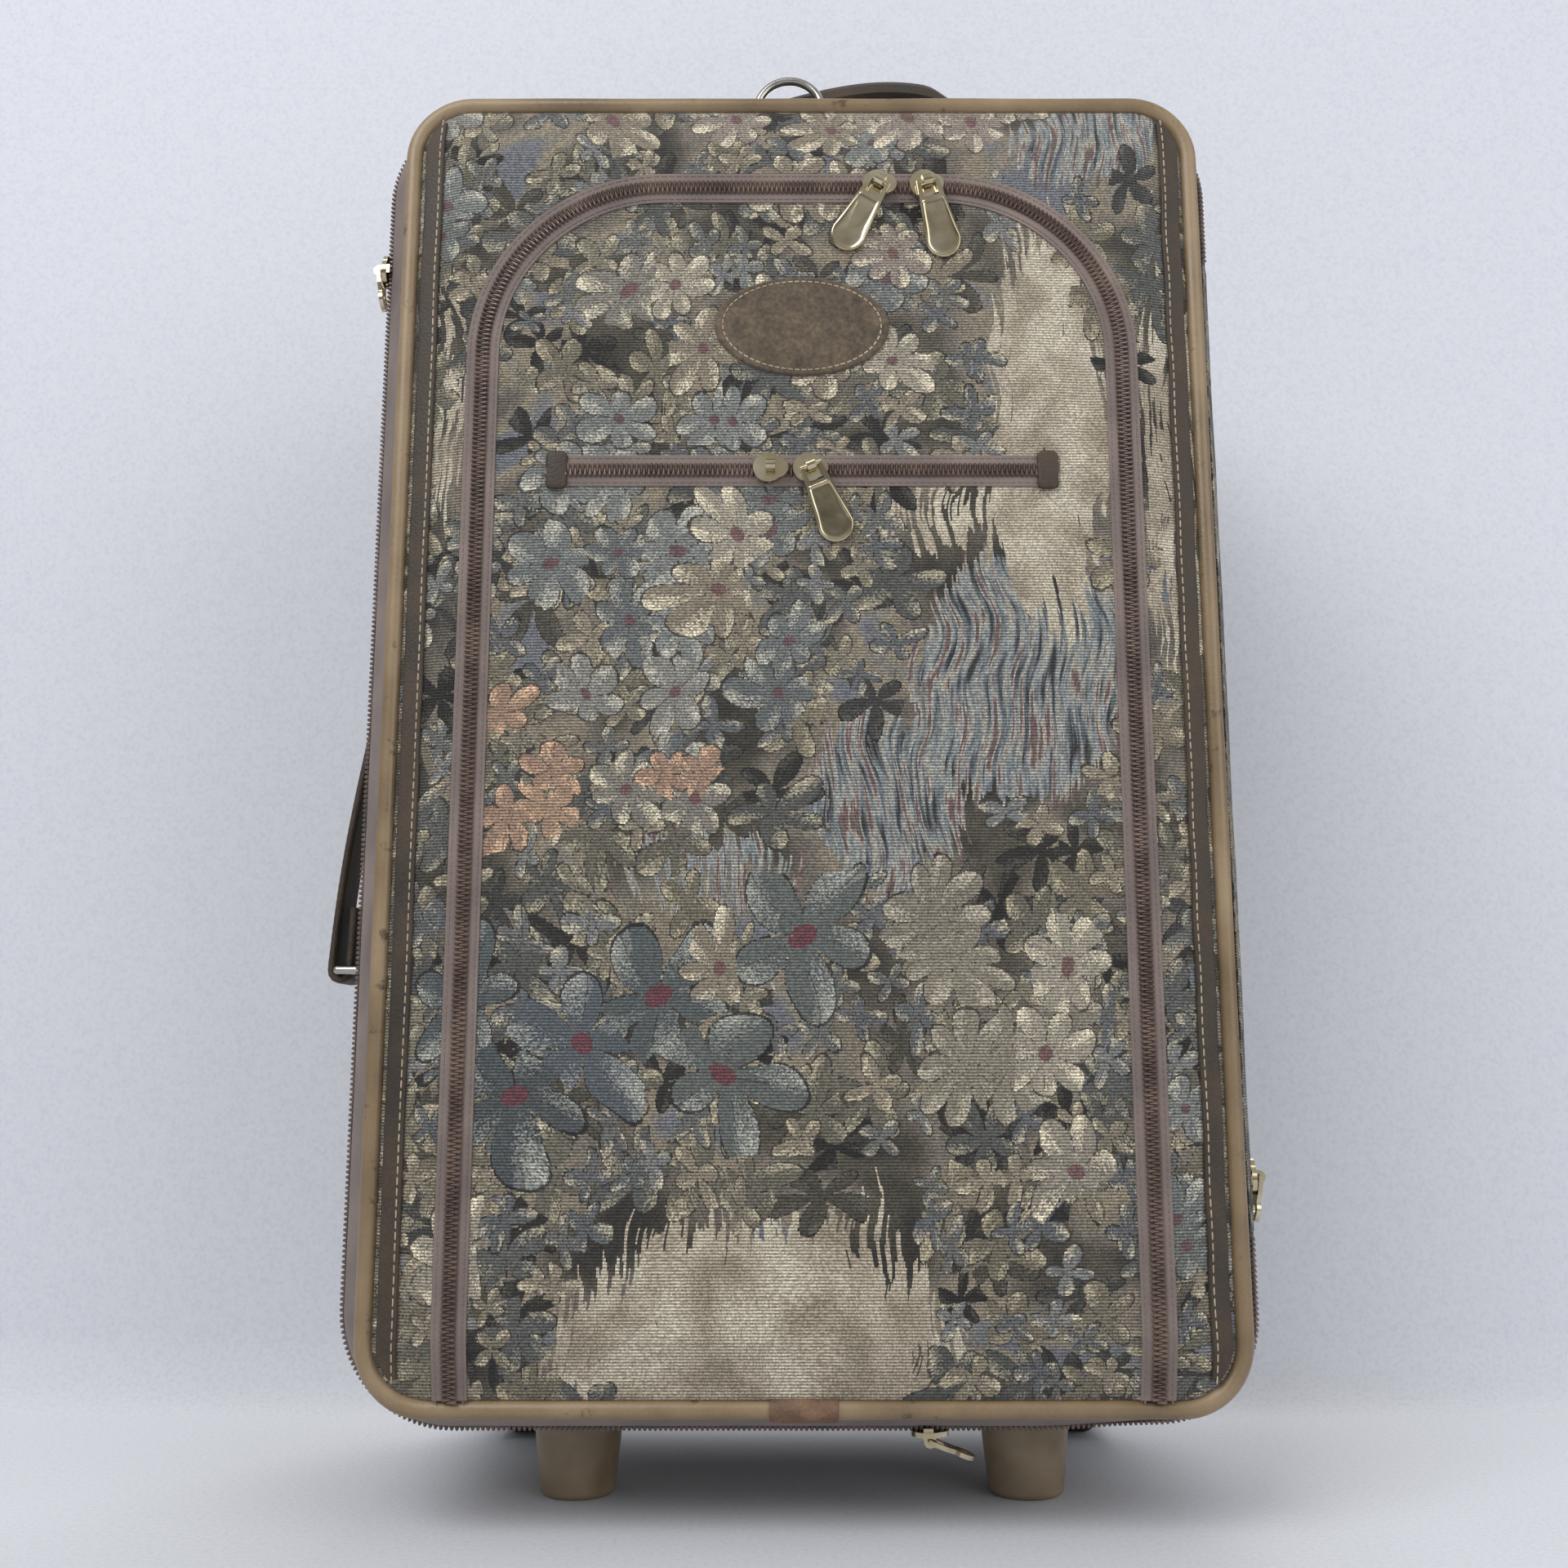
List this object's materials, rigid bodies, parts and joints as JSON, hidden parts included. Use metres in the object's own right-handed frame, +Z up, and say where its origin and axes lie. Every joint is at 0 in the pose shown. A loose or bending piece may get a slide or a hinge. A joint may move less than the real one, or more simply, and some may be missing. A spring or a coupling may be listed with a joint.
{
  "type": "rolling suitcase",
  "caption": "Upright soft-sided rolling suitcase in woven tapestry with piped edges, zipped pockets, hinged lid, telescopic trolley handle, carry handles, feet and wheels.",
  "frame": {"origin": "on the floor under the middle of the case's overall box", "axes": "+Z up, the tapestry front faces -Y, +X to the right as the front is seen"},
  "size_m": [0.4228, 0.2435, 0.669],
  "materials": {
    "tapestry": "woven jacquard tapestry, matt",
    "lining": "plain woven lining",
    "piping": "scuffed tan vinyl over cord",
    "leather": "worn brown leather",
    "suede": "napped suede",
    "zip_tape": "woven zip tape",
    "zip_coil": "nylon coil",
    "brass": "polished, lightly worn plating",
    "nickel": "nickel plate",
    "aluminium_tube": "drawn tube",
    "dark_plastic": "moulded",
    "tyre_rubber": "solid polyurethane",
    "foot_plastic": "moulded, scuffed"
  },
  "bodies": {
    "case": {"case_shell": "tapestry", "inner_lining": "lining", "back_panel": "tapestry", "rear_piping": "piping", "main_zip_tape": "zip_tape", "main_zip_coil": "zip_coil", "hinge_strip": "tapestry", "expansion_tape": "zip_tape", "expansion_coil": "zip_coil", "top_handle_strap": "leather", "top_handle_grip": "leather", "top_handle_anchors": "leather", "ring_chape": "leather", "side_handle_strap": "leather", "side_handle_loops": "nickel", "side_handle_anchors": "leather", "trolley_cup": "dark_plastic", "outer_tubes": "aluminium_tube", "tube_sockets": "dark_plastic", "wheel_housings": "dark_plastic", "axles": "nickel", "feet": "foot_plastic", "foot_screws": "nickel"},
    "lid": {"front_panel": "tapestry", "lid_frame": "tapestry", "lid_zip_tape": "zip_tape", "front_piping": "piping", "piping_wrap": "leather", "leather_strips": "leather", "oval_patch": "suede", "pocket_zip_tape": "zip_tape", "pocket_zip_coil": "zip_coil", "slip_zip_tape": "zip_tape", "slip_zip_coil": "zip_coil", "slip_zip_tabs": "leather"},
    "trolley": {"inner_tubes": "aluminium_tube", "lock_pins": "nickel", "trolley_grip": "dark_plastic", "button_spring": "nickel"},
    "button": {"release_button": "dark_plastic"},
    "ring": {"d_ring": "nickel"},
    "wheel_left": {"wheel_hub_left": "dark_plastic", "tyre_left": "tyre_rubber"},
    "wheel_right": {"wheel_hub_right": "dark_plastic", "tyre_right": "tyre_rubber"},
    "pocket_slider_left": {"pocket_slider_left": "brass"},
    "pocket_pull_left": {"pocket_pull_left": "brass"},
    "pocket_slider_right": {"pocket_slider_right": "brass"},
    "pocket_pull_right": {"pocket_pull_right": "brass"},
    "slip_slider_left": {"slip_slider_left": "brass"},
    "slip_slider_right": {"slip_slider_right": "brass"},
    "slip_pull": {"slip_pull": "brass"},
    "side_slider": {"side_slider": "brass"},
    "side_pull": {"side_pull": "brass"},
    "bottom_slider": {"bottom_slider": "brass"},
    "bottom_pull": {"bottom_pull": "brass"},
    "expansion_slider": {"expansion_slider": "brass"},
    "expansion_pull": {"expansion_pull": "brass"}
  },
  "joints": [
    {"name": "lid_hinge", "type": "hinge", "parent": "case", "child": "lid", "pos_m": [0.20435, -0.0854, 0.333], "axis": [0, 0, 1], "range_deg": [0, 120]},
    {"name": "pocket_slider_left_run", "type": "slide", "parent": "lid", "child": "pocket_slider_left", "axis": [-1, 0, 0], "range_m": [0, 0.085]},
    {"name": "pocket_slider_right_run", "type": "slide", "parent": "lid", "child": "pocket_slider_right", "axis": [1, 0, 0], "range_m": [-0.004, 0.005]},
    {"name": "pocket_pull_left_flip", "type": "hinge", "parent": "pocket_slider_left", "child": "pocket_pull_left", "pos_m": [0.04805, -0.11915, 0.566], "axis": [-0.8572, 0, 0.515], "range_deg": [0, 85]},
    {"name": "pocket_pull_right_flip", "type": "hinge", "parent": "pocket_slider_right", "child": "pocket_pull_right", "pos_m": [0.06875, -0.11915, 0.566], "axis": [-0.9659, 0, -0.2588], "range_deg": [0, 85]},
    {"name": "slip_slider_left_run", "type": "slide", "parent": "lid", "child": "slip_slider_left", "axis": [-1, 0, 0], "range_m": [0, 0.078]},
    {"name": "slip_slider_right_run", "type": "slide", "parent": "lid", "child": "slip_slider_right", "axis": [1, 0, 0], "range_m": [0, 0.088]},
    {"name": "slip_pull_flip", "type": "hinge", "parent": "slip_slider_right", "child": "slip_pull", "pos_m": [0.01725, -0.11915, 0.4345], "axis": [-0.9205, 0, -0.3907], "range_deg": [0, 85]},
    {"name": "side_slider_run", "type": "slide", "parent": "case", "child": "side_slider", "axis": [0, 0, 1], "range_m": [-0.43, 0.018]},
    {"name": "side_pull_flip", "type": "hinge", "parent": "side_slider", "child": "side_pull", "pos_m": [-0.17935, -0.08225, 0.542], "axis": [0, 1, 0], "range_deg": [0, 85]},
    {"name": "bottom_slider_run", "type": "slide", "parent": "case", "child": "bottom_slider", "axis": [1, 0, 0], "range_m": [-0.17, 0.06]},
    {"name": "bottom_pull_flip", "type": "hinge", "parent": "bottom_slider", "child": "bottom_pull", "pos_m": [0.06475, -0.08225, 0.0349], "axis": [0, 1, 0], "range_deg": [-20, 65]},
    {"name": "expansion_slider_run", "type": "slide", "parent": "case", "child": "expansion_slider", "axis": [0, 0, 1], "range_m": [-0.033, 0.42]},
    {"name": "expansion_pull_flip", "type": "hinge", "parent": "expansion_slider", "child": "expansion_pull", "pos_m": [0.20865, -0.06125, 0.137], "axis": [0, -1, 0], "range_deg": [0, 85]},
    {"name": "ring_swing", "type": "hinge", "parent": "case", "child": "ring", "pos_m": [0.00875, -0.04625, 0.6279], "axis": [1, 0, 0], "range_deg": [0, 85]},
    {"name": "trolley_slide", "type": "slide", "parent": "case", "child": "trolley", "axis": [0, 0, 1], "range_m": [0, 0.4]},
    {"name": "button_press", "type": "slide", "parent": "trolley", "child": "button", "axis": [0, 0, -1], "range_m": [0, 0.003], "stiffness_N_per_m": 600, "springref_m": -0.002, "deforming": ["button_spring"]},
    {"name": "wheel_left_spin", "type": "hinge", "parent": "case", "child": "wheel_left", "pos_m": [-0.12325, 0.09675, 0.025], "axis": [1, 0, 0], "continuous": true},
    {"name": "wheel_right_spin", "type": "hinge", "parent": "case", "child": "wheel_right", "pos_m": [0.15175, 0.09675, 0.025], "axis": [1, 0, 0], "continuous": true}
  ]
}
